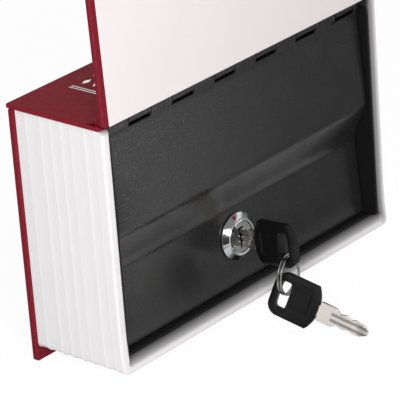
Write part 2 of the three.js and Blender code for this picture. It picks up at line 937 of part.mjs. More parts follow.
// The second key hangs on the lower left of the ring, with its tip near the floor
const hang = deg(key_2_ring_deg);
const on_ring = new THREE.Vector3(-ring_radius * Math.sin(hang), 0, -ring_radius * Math.cos(hang))
  .applyEuler(ring.rotation)
  .add(ring.position);
const key_2 = new THREE.Group();
key_2.rotation.set(deg(key_2_pitch_deg), deg(key_2_roll_deg), deg(key_2_yaw_deg));
const held = new THREE.Vector3(0, slot_y - key_2_slot_shift, 0).applyEuler(key_2.rotation);
key_2.position.copy(on_ring).sub(held);
bookSafe.add(key_2);
place(key_2, 'key_2_blade', keyBlade(), key_steel);
place(key_2, 'key_2_bow', keyBow(), key_plastic);

export default bookSafe;
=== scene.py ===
import json
import math

import bmesh
import bpy
import numpy as np
from mathutils import Matrix, Vector


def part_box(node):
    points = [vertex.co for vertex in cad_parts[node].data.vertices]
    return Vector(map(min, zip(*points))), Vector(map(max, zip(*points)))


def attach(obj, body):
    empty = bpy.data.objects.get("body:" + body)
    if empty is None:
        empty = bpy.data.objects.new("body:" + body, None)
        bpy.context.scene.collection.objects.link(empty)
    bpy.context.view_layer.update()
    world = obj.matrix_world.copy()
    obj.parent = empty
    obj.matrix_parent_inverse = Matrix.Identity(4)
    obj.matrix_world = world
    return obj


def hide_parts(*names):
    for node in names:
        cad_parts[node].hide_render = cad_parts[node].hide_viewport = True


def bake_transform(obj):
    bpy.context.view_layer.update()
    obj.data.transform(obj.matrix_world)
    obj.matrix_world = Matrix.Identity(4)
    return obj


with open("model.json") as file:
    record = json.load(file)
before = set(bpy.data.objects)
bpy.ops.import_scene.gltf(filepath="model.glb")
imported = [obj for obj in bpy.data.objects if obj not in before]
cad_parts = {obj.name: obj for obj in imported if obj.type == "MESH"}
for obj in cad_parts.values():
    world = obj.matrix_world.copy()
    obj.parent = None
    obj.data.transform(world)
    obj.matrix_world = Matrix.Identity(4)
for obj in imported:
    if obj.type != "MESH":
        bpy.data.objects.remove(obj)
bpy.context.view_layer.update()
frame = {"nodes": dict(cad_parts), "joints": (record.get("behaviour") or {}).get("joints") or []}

mm = 0.001

# Back cover board: the stiff board at the back of the book, which stands on the floor.
# It is grey board wrapped in red book cloth. The cloth is glued on and turned in at the edges,
# so the rims are softly rounded and a little worn.
cloth_edge = 0.6 * mm
cloth_corner = 1.2 * mm
thread = 0.46 * mm
slub_size, faded_spot_size = 6 * thread, 22 * mm
between_threads = (0.05, 0.004, 0.008)
weave_relief = 0.05 * mm
same_point = 1e-7


def grid_faces(rows, cols, wrap_rows=False, wrap_cols=False):
    """Four-cornered faces of a grid: each point (i, j) with its neighbours at i + 1 and j + 1."""
    i, j = np.meshgrid(
        np.arange(rows if wrap_rows else rows - 1),
        np.arange(cols if wrap_cols else cols - 1),
        indexing="ij",
    )
    i_next, j_next = (i + 1) % rows, (j + 1) % cols
    corners = [i * cols + j, i_next * cols + j, i_next * cols + j_next, i * cols + j_next]
    return np.stack(corners, -1).reshape(-1, 4)


def tube_faces(rows, cols):
    """Faces of a tube whose rings are the rows, with one face over each end."""
    ends = [range(cols), range((rows - 1) * cols, rows * cols)]
    return grid_faces(rows, cols, wrap_cols=True).tolist() + ends


def new_piece(name, points, faces, map_points=None, wear_and_shade=None, crease=35, closed=True):
    """An object from points and faces, its doubles merged and its edges sharp past crease degrees.

    If it is closed, its faces are turned outwards. map_points go into the UV map "cloth", and
    wear_and_shade, the wear of cloth rims and the page block's painted shade, into
    "wear_and_shade".
    """
    mesh = bpy.data.meshes.new(name)
    flat = np.asarray(points, float).reshape(-1, 3)
    mesh.from_pydata(flat.tolist(), [], [list(map(int, face)) for face in faces])
    corner_points = np.empty(len(mesh.loops), np.int32)
    mesh.loops.foreach_get("vertex_index", corner_points)
    if map_points is not None:
        layer = mesh.uv_layers.new(name="cloth")
        layer.data.foreach_set("uv", np.asarray(map_points).reshape(-1, 2)[corner_points].ravel())
    if wear_and_shade is not None:
        attribute = mesh.attributes.new("wear_and_shade", "FLOAT", "POINT")
        attribute.data.foreach_set("value", np.asarray(wear_and_shade, float).ravel())
    work = bmesh.new()
    work.from_mesh(mesh)
    bmesh.ops.remove_doubles(work, verts=work.verts, dist=same_point)
    if closed:
        bmesh.ops.recalc_face_normals(work, faces=work.faces)
    work.to_mesh(mesh)
    work.free()
    mesh.polygons.foreach_set("use_smooth", np.ones(len(mesh.polygons), bool))
    mesh.set_sharp_from_angle(angle=math.radians(crease))
    piece = bpy.data.objects.new(name, mesh)
    bpy.context.scene.collection.objects.link(piece)
    return piece


def rectangle(u0, u1, v0, v1, radius, steps=8):
    """Closed outline of a rectangle with rounded corners, and its normals.

    Each corner is its centre plus radius times (cos a, sin a), over a quarter turn of a.
    """
    quarter = np.linspace(0, np.pi / 2, steps + 1)
    centres = [(u1 - radius, v1 - radius), (u0 + radius, v1 - radius),
               (u0 + radius, v0 + radius), (u1 - radius, v0 + radius)]
    angles = np.concatenate([quarter + k * np.pi / 2 for k in range(4)])
    normals = np.c_[np.cos(angles), np.sin(angles)]
    return np.repeat(centres, steps + 1, axis=0) + radius * normals, normals


def plate(name, outline, normals, low, high, edge, place, steps=6):
    """A plate between two heights, its rims rounded by quarter circles.

    At angle a of the quarter circle the outline is inset by edge * (1 - sin a), and the height
    is edge * (1 - cos a) from the face. The map "cloth" unrolls the rim: each point of the
    outline moves out along its normal by its height. The rim's middle is the most worn.
    """
    a = np.linspace(0, np.pi / 2, steps + 1)
    inset, rise = edge * (1 - np.sin(a)), edge * (1 - np.cos(a))
    inset = np.r_[inset, inset[::-1]][:, None, None]
    height = np.r_[low + rise, high - rise[::-1]]
    flat = outline[None] - inset * normals[None]
    rows, cols = flat.shape[:2]
    level = np.repeat(height[:, None], cols, 1)
    points = place(flat[..., 0], flat[..., 1], level)
    unrolled = flat + normals[None] * (level - low)[..., None]
    wear_and_shade = np.repeat(np.sin(2 * np.r_[a, a[::-1]])[:, None], cols, 1)
    return new_piece(name, points, tube_faces(rows, cols), unrolled, wear_and_shade)


def finish_of(name, colour, roughness, metallic=0.0, specular=0.5):
    """A material whose plain values are set on the shader's own sockets."""
    material = bpy.data.materials.new(name)
    material.use_nodes = True
    shader = material.node_tree.nodes["Principled BSDF"]
    shader.inputs["Base Color"].default_value = (*colour, 1)
    shader.inputs["Roughness"].default_value = roughness
    shader.inputs["Metallic"].default_value = metallic
    shader.inputs["Specular IOR Level"].default_value = specular
    return material, material.node_tree, shader


def node(tree, kind, inputs, **settings):
    """A shader node: each input is a number, or the output socket that feeds it."""
    made = tree.nodes.new("ShaderNode" + kind)
    for key, value in settings.items():
        setattr(made, key, value)
    for key, value in inputs.items():
        if isinstance(value, bpy.types.NodeSocket):
            tree.links.new(value, made.inputs[key])
        else:
            made.inputs[key].default_value = value
    return made


def here(tree):
    """Object coordinates, in metres."""
    return node(tree, "TexCoord", {}).outputs["Object"]


def grain(tree, place, size, detail=3.0, rough=0.6, stretch=(1, 1, 1)):
    """Noise from 0 to 1 with spots about size across, drawn out along the axes by stretch."""
    scaled = node(tree, "Mapping", {"Vector": place, "Scale": [1 / s for s in stretch]})
    return node(tree, "TexNoise", {
        "Vector": scaled.outputs["Vector"], "Scale": 1 / size,
        "Detail": detail, "Roughness": rough,
    }).outputs["Fac"]


def span(tree, value, low, high, to_low, to_high):
    """Value carried evenly from one range to another, and held at its ends."""
    return node(tree, "MapRange", {0: value, 1: low, 2: high, 3: to_low, 4: to_high}).outputs[0]


def mixed(tree, share, first, second):
    """Colour between first and second by share."""
    colours = [c if isinstance(c, bpy.types.NodeSocket) else (*c, 1) for c in (first, second)]
    return node(tree, "Mix", {0: share, 6: colours[0], 7: colours[1]},
                data_type="RGBA").outputs[2]


def sums(tree, first, second, operation="ADD"):
    """Two values joined by one operation."""
    return node(tree, "Math", {0: first, 1: second}, operation=operation).outputs[0]


def feed(tree, shader, colour=None, roughness=None):
    """Links a colour and a roughness to the shader, where each is given."""
    for socket, value in (("Base Color", colour), ("Roughness", roughness)):
        if value is not None:
            tree.links.new(value, shader.inputs[socket])


def relief(tree, shader, height, depth):
    """Bumps the surface: height 1 stands depth metres above height 0."""
    bump = node(tree, "Bump", {"Height": height, "Distance": depth, "Strength": 1.0})
    tree.links.new(bump.outputs["Normal"], shader.inputs["Normal"])


def waves(tree, width, axis, distortion, detail, detail_scale):
    """Bands across one axis of the map "cloth", from 0 to 1, each width wide.

    A wave texture of scale 1 has bands pi / 10 wide.
    """
    return node(tree, "TexWave", {
        "Vector": node(tree, "UVMap", {}, uv_map="cloth").outputs["UV"],
        "Scale": math.pi / 10 / width, "Distortion": distortion,
        "Detail": detail, "Detail Scale": detail_scale,
    }, bands_direction=axis).outputs["Fac"]


def book_cloth(name, colour, faded, worn_colour):
    """Plain weave, the product of warp and weft waves, with slubs, faded spots and worn rims."""
    material, tree, shader = finish_of(name, colour, 0.62, specular=0.12)
    place = here(tree)
    slubs = grain(tree, place, slub_size, 4)
    weave = sums(tree, *[waves(tree, thread, axis, 0.6, 1.0, 2.0) for axis in "XY"], "MULTIPLY")
    spots = span(tree, grain(tree, place, faded_spot_size, 5, 0.7), 0.35, 0.7, 0, 1)
    tint = mixed(tree, spots, colour, faded)
    tint = mixed(tree, span(tree, weave, 0, 1, 0.16, 0), tint, between_threads)
    wear_and_shade = node(tree, "Attribute", {}, attribute_name="wear_and_shade").outputs["Fac"]
    patchy = sums(tree, wear_and_shade, span(tree, slubs, 0.45, 0.7, 0, 0.5), "MULTIPLY")
    feed(tree, shader, mixed(tree, patchy, tint, worn_colour),
         span(tree, slubs, 0.3, 0.7, 0.55, 0.7))
    relief(tree, shader, sums(tree, weave, slubs), weave_relief)
    return material


def fit(piece, material, body, slot, *nodes):
    """Gives a piece its material and its body, and hides the solids it replaces. The slot is not
    used.
    """
    piece.data.materials.append(material)
    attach(piece, body)
    if nodes:
        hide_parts(*nodes)


red_cloth = book_cloth("red_book_cloth", (0.205, 0.009, 0.022), (0.23, 0.011, 0.025),
                       (0.33, 0.055, 0.07))
low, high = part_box("back_cover_board")
back_cover = plate(
    "back_cover", *rectangle(low.x, high.x, low.z, high.z, cloth_corner), low.y, high.y,
    cloth_edge, lambda u, v, h: np.stack([u, h, v], -1),
)
fit(back_cover, red_cloth, "book", "cover_board", "back_cover_board")

# Spine board: the board over the top of the page block, wrapped in the same cloth.
# It is a shade browner than the cloth of the covers.
# Its front edge is skived: it slants back under the cloth, so it hides behind the open cover.
spine_skive = 3.6 * mm
spine_overhang = 1.2 * mm
wine_cloth = book_cloth("wine_book_cloth", (0.25, 0.009, 0.021), (0.27, 0.011, 0.024),
                        (0.36, 0.05, 0.065))
low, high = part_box("spine_board")
spine_face = high.z


def on_spine(u, v, h):
    """A point of the spine, its front half moved back by its share of the depth."""
    share = (high.z - h) / (high.z - low.z) * (2 * v < low.y + high.y)
    return np.stack([u, v + spine_skive * share, h], -1)


spine = plate("spine", *rectangle(low.x, high.x, low.y, high.y + spine_overhang, cloth_corner),
              low.z, high.z, cloth_edge, on_spine)
fit(spine, wine_cloth, "book", "spine_board", "spine_board")

# Foil rules on the spine: thin silver foil, pressed into the cloth with a hot die.
# Two pairs of plain lines run across, with a row of lozenges between them.
foil_width = 0.5 * mm
foil_lift = 0.04 * mm
foil_inset = 9.5 * mm
rule_places = [-63 * mm, -61.4 * mm, -48.4 * mm, -46.8 * mm]
lozenge_places = [(-55 * mm, share) for share in (0.07, 0.24, 0.41, 0.59, 0.76, 0.93)]
lozenge_long, lozenge_wide = 5.6 * mm, 2.6 * mm
silver, rubbed_silver, flake_size = (0.78, 0.77, 0.76), (0.35, 0.2, 0.2), 1.1 * mm


def foil_strip(name, corners):
    """A thin flat polygon, as far above the spine's face as below it."""
    corners = np.asarray(corners, float)
    count = len(corners)
    rings = [np.c_[corners, np.full(count, spine_face + lift)] for lift in (-foil_lift, foil_lift)]
    return new_piece(name, np.concatenate(rings), tube_faces(2, count))


silver_foil, tree, shader = finish_of("silver_foil", silver, 0.32, 1.0)
flakes = grain(tree, here(tree), flake_size, 4)
feed(tree, shader, mixed(tree, span(tree, flakes, 0.58, 0.66, 0, 0.5), silver, rubbed_silver),
     span(tree, flakes, 0.35, 0.7, 0.25, 0.5))
near, far = low.y + foil_inset, high.y - foil_inset
half = foil_width / 2
for number, x in enumerate(rule_places, 1):
    rule = foil_strip(f"foil_rule_{number}",
                      [(x - half, near), (x + half, near), (x + half, far), (x - half, far)])
    fit(rule, silver_foil, "book", "chrome_plate")
for number, (x, share) in enumerate(lozenge_places, 1):
    y = near + (far - near) * share
    lozenge = foil_strip(f"foil_lozenge_{number}", [
        (x - lozenge_long / 2, y), (x, y - lozenge_wide / 2),
        (x + lozenge_long / 2, y), (x, y + lozenge_wide / 2),
    ])
    fit(lozenge, silver_foil, "book", "chrome_plate")

# Front cover board: it stands open on its hinge line, a little past straight.
# The cloth is turned in over three edges of its inner face, outside the pale lining.
cover_lean = math.radians(-2)
cover_thickness = 2.4 * mm
cover_slack = 0.15 * mm
cover_gap = 0.26 * mm
lining_thickness = 0.3 * mm
lining_margin = 3 * mm
joints = {joint["name"]: joint for joint in frame["joints"]}
board_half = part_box("back_cover_board")[1].x
book_height = spine_face


def turned_about(joint, angle, points):
    """Points given from a hinge line along X, turned about it and set in place.

    y becomes y cos a - z sin a, and z becomes y sin a + z cos a, before the hinge is added.
    """
    c, s = math.cos(angle), math.sin(angle)
    turn = np.array([[1, 0, 0], [0, c, -s], [0, s, c]])
    hinge = joints[joint]["pos_m"]
    return points @ turn.T + np.array([0, hinge[1], hinge[2]])


def on_cover(u, v, h):
    """A point of the cover: along the spine, up from the hinge line, and back from the lining."""
    return turned_about("cover_hinge", cover_lean, np.stack([u, h, v], -1))


cover_back = cover_slack + lining_thickness
front_cover = plate(
    "front_cover", *rectangle(-board_half, board_half, cover_gap, book_height, cloth_corner),
    cover_back, cover_back + cover_thickness, cloth_edge, on_cover,
)
fit(front_cover, red_cloth, "front_cover", "cover_board", "front_cover_board")

# Lining of the front cover: a pale endpaper, glued down inside the turned-in cloth.
# Laid paper has fine fibres and a faint warm mottle.
lining_corner, lining_edge = 0.3 * mm, 0.1 * mm
fibre_size, mottle_size, fibre_relief = 0.5 * mm, 35 * mm, 0.03 * mm
paper_cool, paper_warm, fibre_shade = (0.87, 0.795, 0.81), (0.86, 0.795, 0.79), (0.7, 0.6, 0.6)
lining_paper, tree, shader = finish_of("lining_paper", (0.9, 0.79, 0.81), 0.75, specular=0.25)
place = here(tree)
fibres = grain(tree, place, fibre_size, 5, 0.7, (3, 3, 1))
mottle = span(tree, grain(tree, place, mottle_size, 3), 0.3, 0.7, 0, 1)
tint = mixed(tree, mottle, paper_cool, paper_warm)
feed(tree, shader, mixed(tree, span(tree, fibres, 0.55, 0.75, 0, 0.12), tint, fibre_shade))
relief(tree, shader, fibres, fibre_relief)
lining_half = board_half - lining_margin
lining = plate(
    "cover_lining",
    *rectangle(-lining_half, lining_half, cover_gap, book_height - lining_margin, lining_corner),
    cover_slack, cover_back, lining_edge, on_cover,
)
fit(lining, lining_paper, "front_cover", "lining", "front_cover_lining")

# Cloth joint: the strip of book cloth that joins the spine to the front cover.
# It is glued to the outer faces of both boards. In the book it folds between them when the cover
# shuts; here it is built only as it lies open.
# Its profile is a straight, a quarter circle of radius joint_fold and a straight.
joint_reach = 7 * mm
joint_fold, fold_steps = 2.2 * mm, 16
joint_sheet = 0.3 * mm
joint_inset = 0.4 * mm
hinge_y, hinge_z = joints["cover_hinge"]["pos_m"][1:]
low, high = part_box("spine_board")
seat = np.array([low.y - hinge_y + cover_back + cover_thickness, 0.0])
bend = np.linspace(0, np.pi / 2, fold_steps)
fold = seat + joint_fold * np.c_[1 - np.sin(bend), 1 - np.cos(bend)]
profile = np.concatenate([[seat + (joint_reach, 0)], fold[::-1], [seat + (0, joint_reach)]])
along = (board_half - joint_inset) * np.array([-1, 0, 1])
strip = np.stack([
    np.repeat(along[:, None], len(profile), 1),
    np.repeat(profile[None, :, 0] + joint_sheet / 2, len(along), 0),
    np.repeat(profile[None, :, 1] + joint_sheet / 2, len(along), 0),
], -1)
lengths = np.r_[0, np.cumsum(np.linalg.norm(np.diff(profile, axis=0), axis=1))]
joint_map = np.stack(np.meshgrid(along, lengths, indexing="ij"), -1)
cover_joint = new_piece("cover_joint", turned_about("cover_hinge", 0, strip),
                        grid_faces(len(along), len(profile)), joint_map, closed=False)
thicken = cover_joint.modifiers.new("thickness", "SOLIDIFY")
thicken.thickness = joint_sheet
thicken.offset = 0
cover_joint.data.materials.append(red_cloth)
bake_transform(cover_joint)

# Page block: one white moulding of three walls, ribbed outside like the edges of many pages.
# The ribs are shallow on the end walls, with a painted highlight along each crest, and the rim
# towards the viewer is rounded. Painted shade, black at the inside, fades out across its inner
# slope.
page_end_wall, page_fore_wall = 4.3 * mm, 4.3 * mm
page_corner, page_inner_corner = 3 * mm, 1.2 * mm
wall_steps, foot_steps, corner_steps = 60, 90, 10
crest_shares = [0, 0.117, 0.286, 0.4, 0.519, 0.63, 0.794, 0.909]
fore_rib, end_rib, rib_power, rib_steps = 0.42 * mm, 0.12 * mm, 0.6, 12
rim_round, rim_steps = 1 * mm, 8
flare, flare_height = 1.3 * mm, 20 * mm
bevel_depth, bevel_drop, bevel_power = 4.6 * mm, 1.5 * mm, 1.3
tip_round = 3 * mm
# Painted shade on the inner slope of the rim: black at the inside, fading out towards the rim.
end_shade_depth, rim_shade_reach, deepest_shade = 2.4 * mm, 1.3 * mm, 1.5
shade_veil, veil_start, shade_gain, shade_power = 0.1, 8, 0.52, 2.2
painted_shade_black = (0.02, 0.02, 0.02)
low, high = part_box("page_block")
page_depth = high.y - low.y - flare


def wall_outline(half, foot, top, corner):
    """U-shaped outline and its normals: down on the left, along the foot, and up on the right.

    Its two corners are quarter circles: a centre plus corner times (cos a, sin a).
    """
    drop = np.linspace(0, 1, wall_steps)[:, None]
    quarter = np.linspace(0, np.pi / 2, corner_steps + 2)[1:-1, None]
    run = np.linspace(0, 1, foot_steps)[:, None]
    left = np.hstack([np.full_like(drop, -half), top + (foot + corner - top) * drop])
    bottom = np.hstack([(half - corner) * (2 * run - 1), np.full_like(run, foot)])
    first = np.hstack([-np.cos(quarter), -np.sin(quarter)])
    second = np.hstack([np.sin(quarter), -np.cos(quarter)])
    points = np.concatenate([
        left, [-half + corner, foot + corner] + corner * first, bottom,
        [half - corner, foot + corner] + corner * second, left[::-1] * [-1, 1],
    ])
    normals = np.concatenate([
        np.tile([-1.0, 0], (wall_steps, 1)), first, np.tile([0, -1.0], (foot_steps, 1)), second,
        np.tile([1.0, 0], (wall_steps, 1)),
    ])
    return points, normals


# Depth and inset along the outer face: flattened hollows between crests, then a plain band
# and a quarter circle. The inset is (4 * t * (1 - t)) ** rib_power times the rib's depth, which
# is fore_rib on the fore-edge and end_rib on the two end walls.
crests = np.r_[np.array(crest_shares) * page_depth, page_depth - rim_round]
t = np.linspace(0, 1, rib_steps, endpoint=False)
a = np.linspace(0, np.pi / 2, rim_steps)
rib_y = (crests[:-1, None] + np.diff(crests)[:, None] * t).ravel()
rib_in = np.tile((4 * t * (1 - t)) ** rib_power, len(crests) - 1)
rib_in[-rib_steps:] = 0
rib_in = np.r_[rib_in, np.zeros(rim_steps)]
depth = np.r_[rib_y, page_depth - rim_round + rim_round * np.sin(a)]
round_in = np.r_[np.zeros(len(rib_y)), rim_round * (1 - np.cos(a))]
outer, normals = wall_outline(high.x, low.z, high.z, page_corner)
inner, _ = wall_outline(high.x - page_end_wall, low.z + page_fore_wall, high.z, page_inner_corner)

# Over the last bevel_depth the foot wall's inner face slopes down by bevel_drop. The end walls'
# tips are rounded along a circle of radius tip_round, and the block flares towards the viewer
# with the square of the height left to flare_height.
fore = np.abs(normals[:, 1])[:, None]
opened = np.clip((depth - page_depth + bevel_depth) / bevel_depth, 0, 1)[None] ** bevel_power
out_shift = -round_in[None] - rib_in[None] * (end_rib + (fore_rib - end_rib) * fore)
in_shift = round_in[None] + bevel_drop * opened * fore
stack = len(depth)
sides = np.concatenate([outer[:, None] + out_shift[..., None] * normals[:, None],
                        (inner[:, None] + in_shift[..., None] * normals[:, None])[:, ::-1]], 1)
ring_depth = np.r_[depth, depth[::-1]][None]
into_tip = np.clip(ring_depth - page_depth + tip_round, 0, None)
tip = tip_round - np.sqrt(tip_round ** 2 - into_tip ** 2)
foot_line = low.z + page_corner
raised = np.clip((sides[..., 1] - foot_line) / (high.z - foot_line), 0, 1)
sides[..., 1] -= tip * raised
spread = flare * np.clip((low.z + flare_height - sides[..., 1]) / flare_height, 0, None) ** 2
y = high.y - ring_depth * (1 + spread / page_depth)
points = np.stack([sides[..., 0], y, sides[..., 1]], -1)
rows, cols = points.shape[:2]
faces = grid_faces(rows, cols, wrap_cols=True)
i = np.arange(stack - 1)
cap = np.stack([i, i + 1, 2 * stack - 2 - i, 2 * stack - 1 - i], -1)
faces = np.concatenate([faces, cap, cap + (rows - 1) * cols])
run = np.r_[0, np.cumsum(np.linalg.norm(np.diff(outer, axis=0), axis=1))]
page_map = np.stack([np.broadcast_to(ring_depth, (rows, cols)),
                     np.repeat(run[:, None], cols, 1)], -1)

# The painted shade grows with the depth behind the rim, on the inner side only, and reaches over
# the rim of the right-hand wall: 1 - (1 - a veil - shade_gain * depth) ** shade_power.
shade_depth = end_shade_depth + (bevel_depth - end_shade_depth) * fore
over_rim = rim_shade_reach * np.clip(normals[:, :1], 0, 1)
painted_shade = np.clip((page_depth + over_rim - ring_depth) / shade_depth, 0, deepest_shade)
painted_shade *= np.arange(cols) >= stack
painted_shade = 1 - (1 - shade_veil * np.clip(veil_start * painted_shade, 0, 1) - shade_gain * painted_shade) ** shade_power
pages = new_piece("page_moulding", points, faces, page_map, painted_shade, crease=50)

# The paler white is a painted highlight along each rib crest.
page_cool, page_warm, crest_highlight_white = (0.875, 0.85, 0.865), (0.865, 0.85, 0.855), (0.95, 0.94, 0.95)
line_width, line_shade, line_relief = 0.42 * mm, (0.65, 0.62, 0.64), 0.018 * mm
highlight_width = 0.5 * mm
cloud_size, sheen_size = 18 * mm, 3 * mm
page_white, tree, shader = finish_of("page_white_plastic", (0.89, 0.86, 0.88), 0.42, specular=0.25)
place = here(tree)
page_lines = waves(tree, line_width, "X", 1.5, 2.0, 0.4)
cloudy = grain(tree, place, cloud_size, 3)
tint = mixed(tree, span(tree, cloudy, 0.3, 0.7, 0, 1), page_cool, page_warm)
along = node(tree, "SeparateXYZ", {0: node(tree, "UVMap", {}, uv_map="cloth").outputs["UV"]})
# Painted highlight: a thin pale line on each crest, where the light would catch it.
painted_crest_highlight = node(tree, "ValToRGB", {0: sums(tree, along.outputs["X"], page_depth, "DIVIDE")})
stops = painted_crest_highlight.color_ramp.elements
stops[1].color = (0, 0, 0, 1)
for share in crest_shares[1:]:
    for offset, level in ((-highlight_width, 0), (0, 1), (highlight_width, 0)):
        stops.new(share + offset / page_depth).color = (level, level, level, 1)
tint = mixed(tree, painted_crest_highlight.outputs["Color"], tint, crest_highlight_white)
tint = mixed(tree, span(tree, page_lines, 0, 0.5, 0.06, 0), tint, line_shade)
# The attribute holds the painted shade, which mixes the white plastic towards black.
painted_shade = node(tree, "Attribute", {}, attribute_name="wear_and_shade").outputs["Fac"]
feed(tree, shader, mixed(tree, painted_shade, tint, painted_shade_black),
     span(tree, grain(tree, place, sheen_size), 0.3, 0.7, 0.36, 0.5))
relief(tree, shader, page_lines, line_relief)
fit(pages, page_white, "book", "page_plastic", "page_block")

# Steel box: folded and spot-welded sheet, sprayed black inside and out.
# The strike is a small angle of the same sheet, welded to the floor of the box for the cam.
sheet_bevel = 0.18 * mm
solid_crease, solid_point, flat_within = 32, 2e-6, math.radians(0.5)
sunk_share = 0.8
peel_size, speck_size, dull_size = 2.6 * mm, 0.7 * mm, 14 * mm
speck_gain, speck_bump, coat_relief = 4, 0.2, 0.022 * mm


def break_edges(piece, width, angle):
    """A bevel of two segments along every edge sharper than angle degrees."""
    rim = piece.modifiers.new("broken_edges", "BEVEL")
    rim.width = width
    rim.segments = 2
    rim.angle_limit = math.radians(angle)
    return rim


def finer_copy(name, source, bevel):
    """A copy of a CAD solid with its doubles merged, round faces smooth and sharp edges broken.

    The attribute "sunk" is 1 on faces that lie well inside the flat sides of a sheet or blade:
    each point's distance from the middle plane, along the thinnest axis, is under sunk_share
    of the largest.
    """
    mesh = frame["nodes"][source].data
    points = np.empty(len(mesh.vertices) * 3)
    mesh.vertices.foreach_get("co", points)
    corners = np.empty(len(mesh.loops), np.int32)
    mesh.loops.foreach_get("vertex_index", corners)
    points = points.reshape(-1, 3)
    thin_axis = np.linalg.svd(points - points.mean(0), full_matrices=False)[2][2]
    distance = points @ thin_axis
    distance = np.abs(distance - (distance.min() + distance.max()) / 2)
    sunk = distance < sunk_share * distance.max()
    piece = new_piece(name, points, corners.reshape(-1, 3), wear_and_shade=sunk, crease=solid_crease)
    work = bmesh.new()
    work.from_mesh(piece.data)
    bmesh.ops.remove_doubles(work, verts=work.verts, dist=solid_point)
    bmesh.ops.dissolve_limit(work, angle_limit=flat_within, verts=work.verts, edges=work.edges)
    bmesh.ops.recalc_face_normals(work, faces=work.faces)
    work.to_mesh(piece.data)
    work.free()
    piece.data.set_sharp_from_angle(angle=math.radians(solid_crease))
    inside = piece.data.attributes["wear_and_shade"].data
    floors = [min(inside[i].value for i in face.vertices) for face in piece.data.polygons]
    piece.data.attributes.new("sunk", "FLOAT", "FACE").data.foreach_set("value", floors)
    break_edges(piece, bevel, solid_crease).harden_normals = True
    return piece


def sprayed_black(name, gloss, speckle, colour, specular):
    """Black spray paint: orange peel, a few dull spots and a fine hammered speckle.

    The speckle is strongest up and to the left. It fades out as
    x - 0.8 * z grows from -0.16 to -0.06 metres.
    """
    material, tree, shader = finish_of(name, colour, gloss, specular=specular)
    place = here(tree)
    fine = grain(tree, place, speck_size, 2, 0.5)
    peel = grain(tree, place, peel_size, 2)
    across = node(tree, "VectorMath", {0: place, 1: (1, 0, -0.8)}, operation="DOT_PRODUCT")
    speckled_side = span(tree, across.outputs["Value"], -0.16, -0.06, 1, 0.04)
    bright = [speck_gain * c for c in colour]
    specks = sums(tree, span(tree, fine, 0.54, 0.68, 0, speckle), speckled_side, "MULTIPLY")
    dull = span(tree, grain(tree, place, dull_size, 4), 0.4, 0.75, gloss, gloss + 0.1)
    feed(tree, shader, mixed(tree, specks, colour, bright),
         sums(tree, dull, sums(tree, fine, 0.08, "MULTIPLY")))
    relief(tree, shader, sums(tree, sums(tree, fine, speck_bump, "MULTIPLY"), peel), coat_relief)
    return material


box_black = sprayed_black("box_black_paint", 0.38, 0.5, (0.008, 0.008, 0.0083), 0.25)
steel_box = finer_copy("steel_box", "safe_box", sheet_bevel)
fit(steel_box, box_black, "book", "black_paint", "safe_box")
strike_angle = finer_copy("strike_angle", "strike", sheet_bevel)
fit(strike_angle, box_black, "book", "black_paint", "strike")

# Hinge: a strip welded on the box, with six tabs curled round a steel wire.
# It was painted with the lid, so only the ends of the wire are bare zinc.
# Bright zinc is cloudy with small crystals.
tab_bevel, small_bevel = 0.1 * mm, 0.15 * mm
crystal_size, cloud_size, zinc_relief = 1.6 * mm, 2 * mm, 0.01 * mm
dark_zinc, bright_zinc = (0.44, 0.44, 0.43), (0.66, 0.66, 0.63)
lid_black = sprayed_black("lid_black_paint", 0.17, 0.9, (0.0178, 0.0182, 0.018), 0.41)
hinge_strip = finer_copy("hinge_strip", "hinge_leaf", tab_bevel)
fit(hinge_strip, lid_black, "book", "black_paint", "hinge_leaf")

zinc, tree, shader = finish_of("zinc_plate_finish", (0.55, 0.55, 0.53), 0.34, 1.0)
crystals = node(tree, "TexVoronoi", {"Vector": here(tree), "Scale": 1 / crystal_size})
clouds = grain(tree, here(tree), cloud_size, 5)
feed(tree, shader, mixed(tree, clouds, dark_zinc, bright_zinc),
     span(tree, crystals.outputs["Distance"], 0, 1, 0.26, 0.46))
relief(tree, shader, clouds, zinc_relief)
wire_pin = finer_copy("wire_pin", "hinge_pin", small_bevel)
fit(wire_pin, zinc, "book", "zinc_plate", "hinge_pin")

# Lid: one pressed steel sheet with a step across it, curled round the wire between the tabs.
# It is sprayed gloss black, and shows the lock and keys as soft reflections.
lid_ajar = math.radians(-4.2)
lid_sheet, lid_edge, lid_edge_angle = 1.0 * mm, 0.2 * mm, 50
lid_curl, curl_start, curl_end, curl_steps = 1.7 * mm, math.radians(-70), math.radians(180), 26
lid_joggle = 6 * mm
lid_slot_drop = 3.3 * mm
slot_steps, drop_steps, across_steps = 6, 150, 90
lid_mid_drop, lid_crease_drop = 46.3 * mm, 64.3 * mm
lid_step = 8.9 * mm
lid_bend_soft, lid_crease_soft = 0.9 * mm, 0.35 * mm
lid_fillet_share, lid_fillet_run, lid_fillet_soft = 0.5, 3 * mm, 1.2 * mm
lid_foot_drop = 98.4 * mm
knuckle_count, knuckle_first, knuckle_pitch = 6, 14.4 * mm, 26.8 * mm
knuckle_width, knuckle_gap = 13.2 * mm, 0.35 * mm
lock_x, lock_drop = -2.5 * mm, 77.5 * mm
lock_hole = 9.2 * mm
lid_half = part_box("lid_panel")[1].x


def eased(distance, softness):
    """A ramp from zero with a soft start: softness * log(1 + e^(distance / softness))."""
    return softness * np.logaddexp(0, distance / softness)


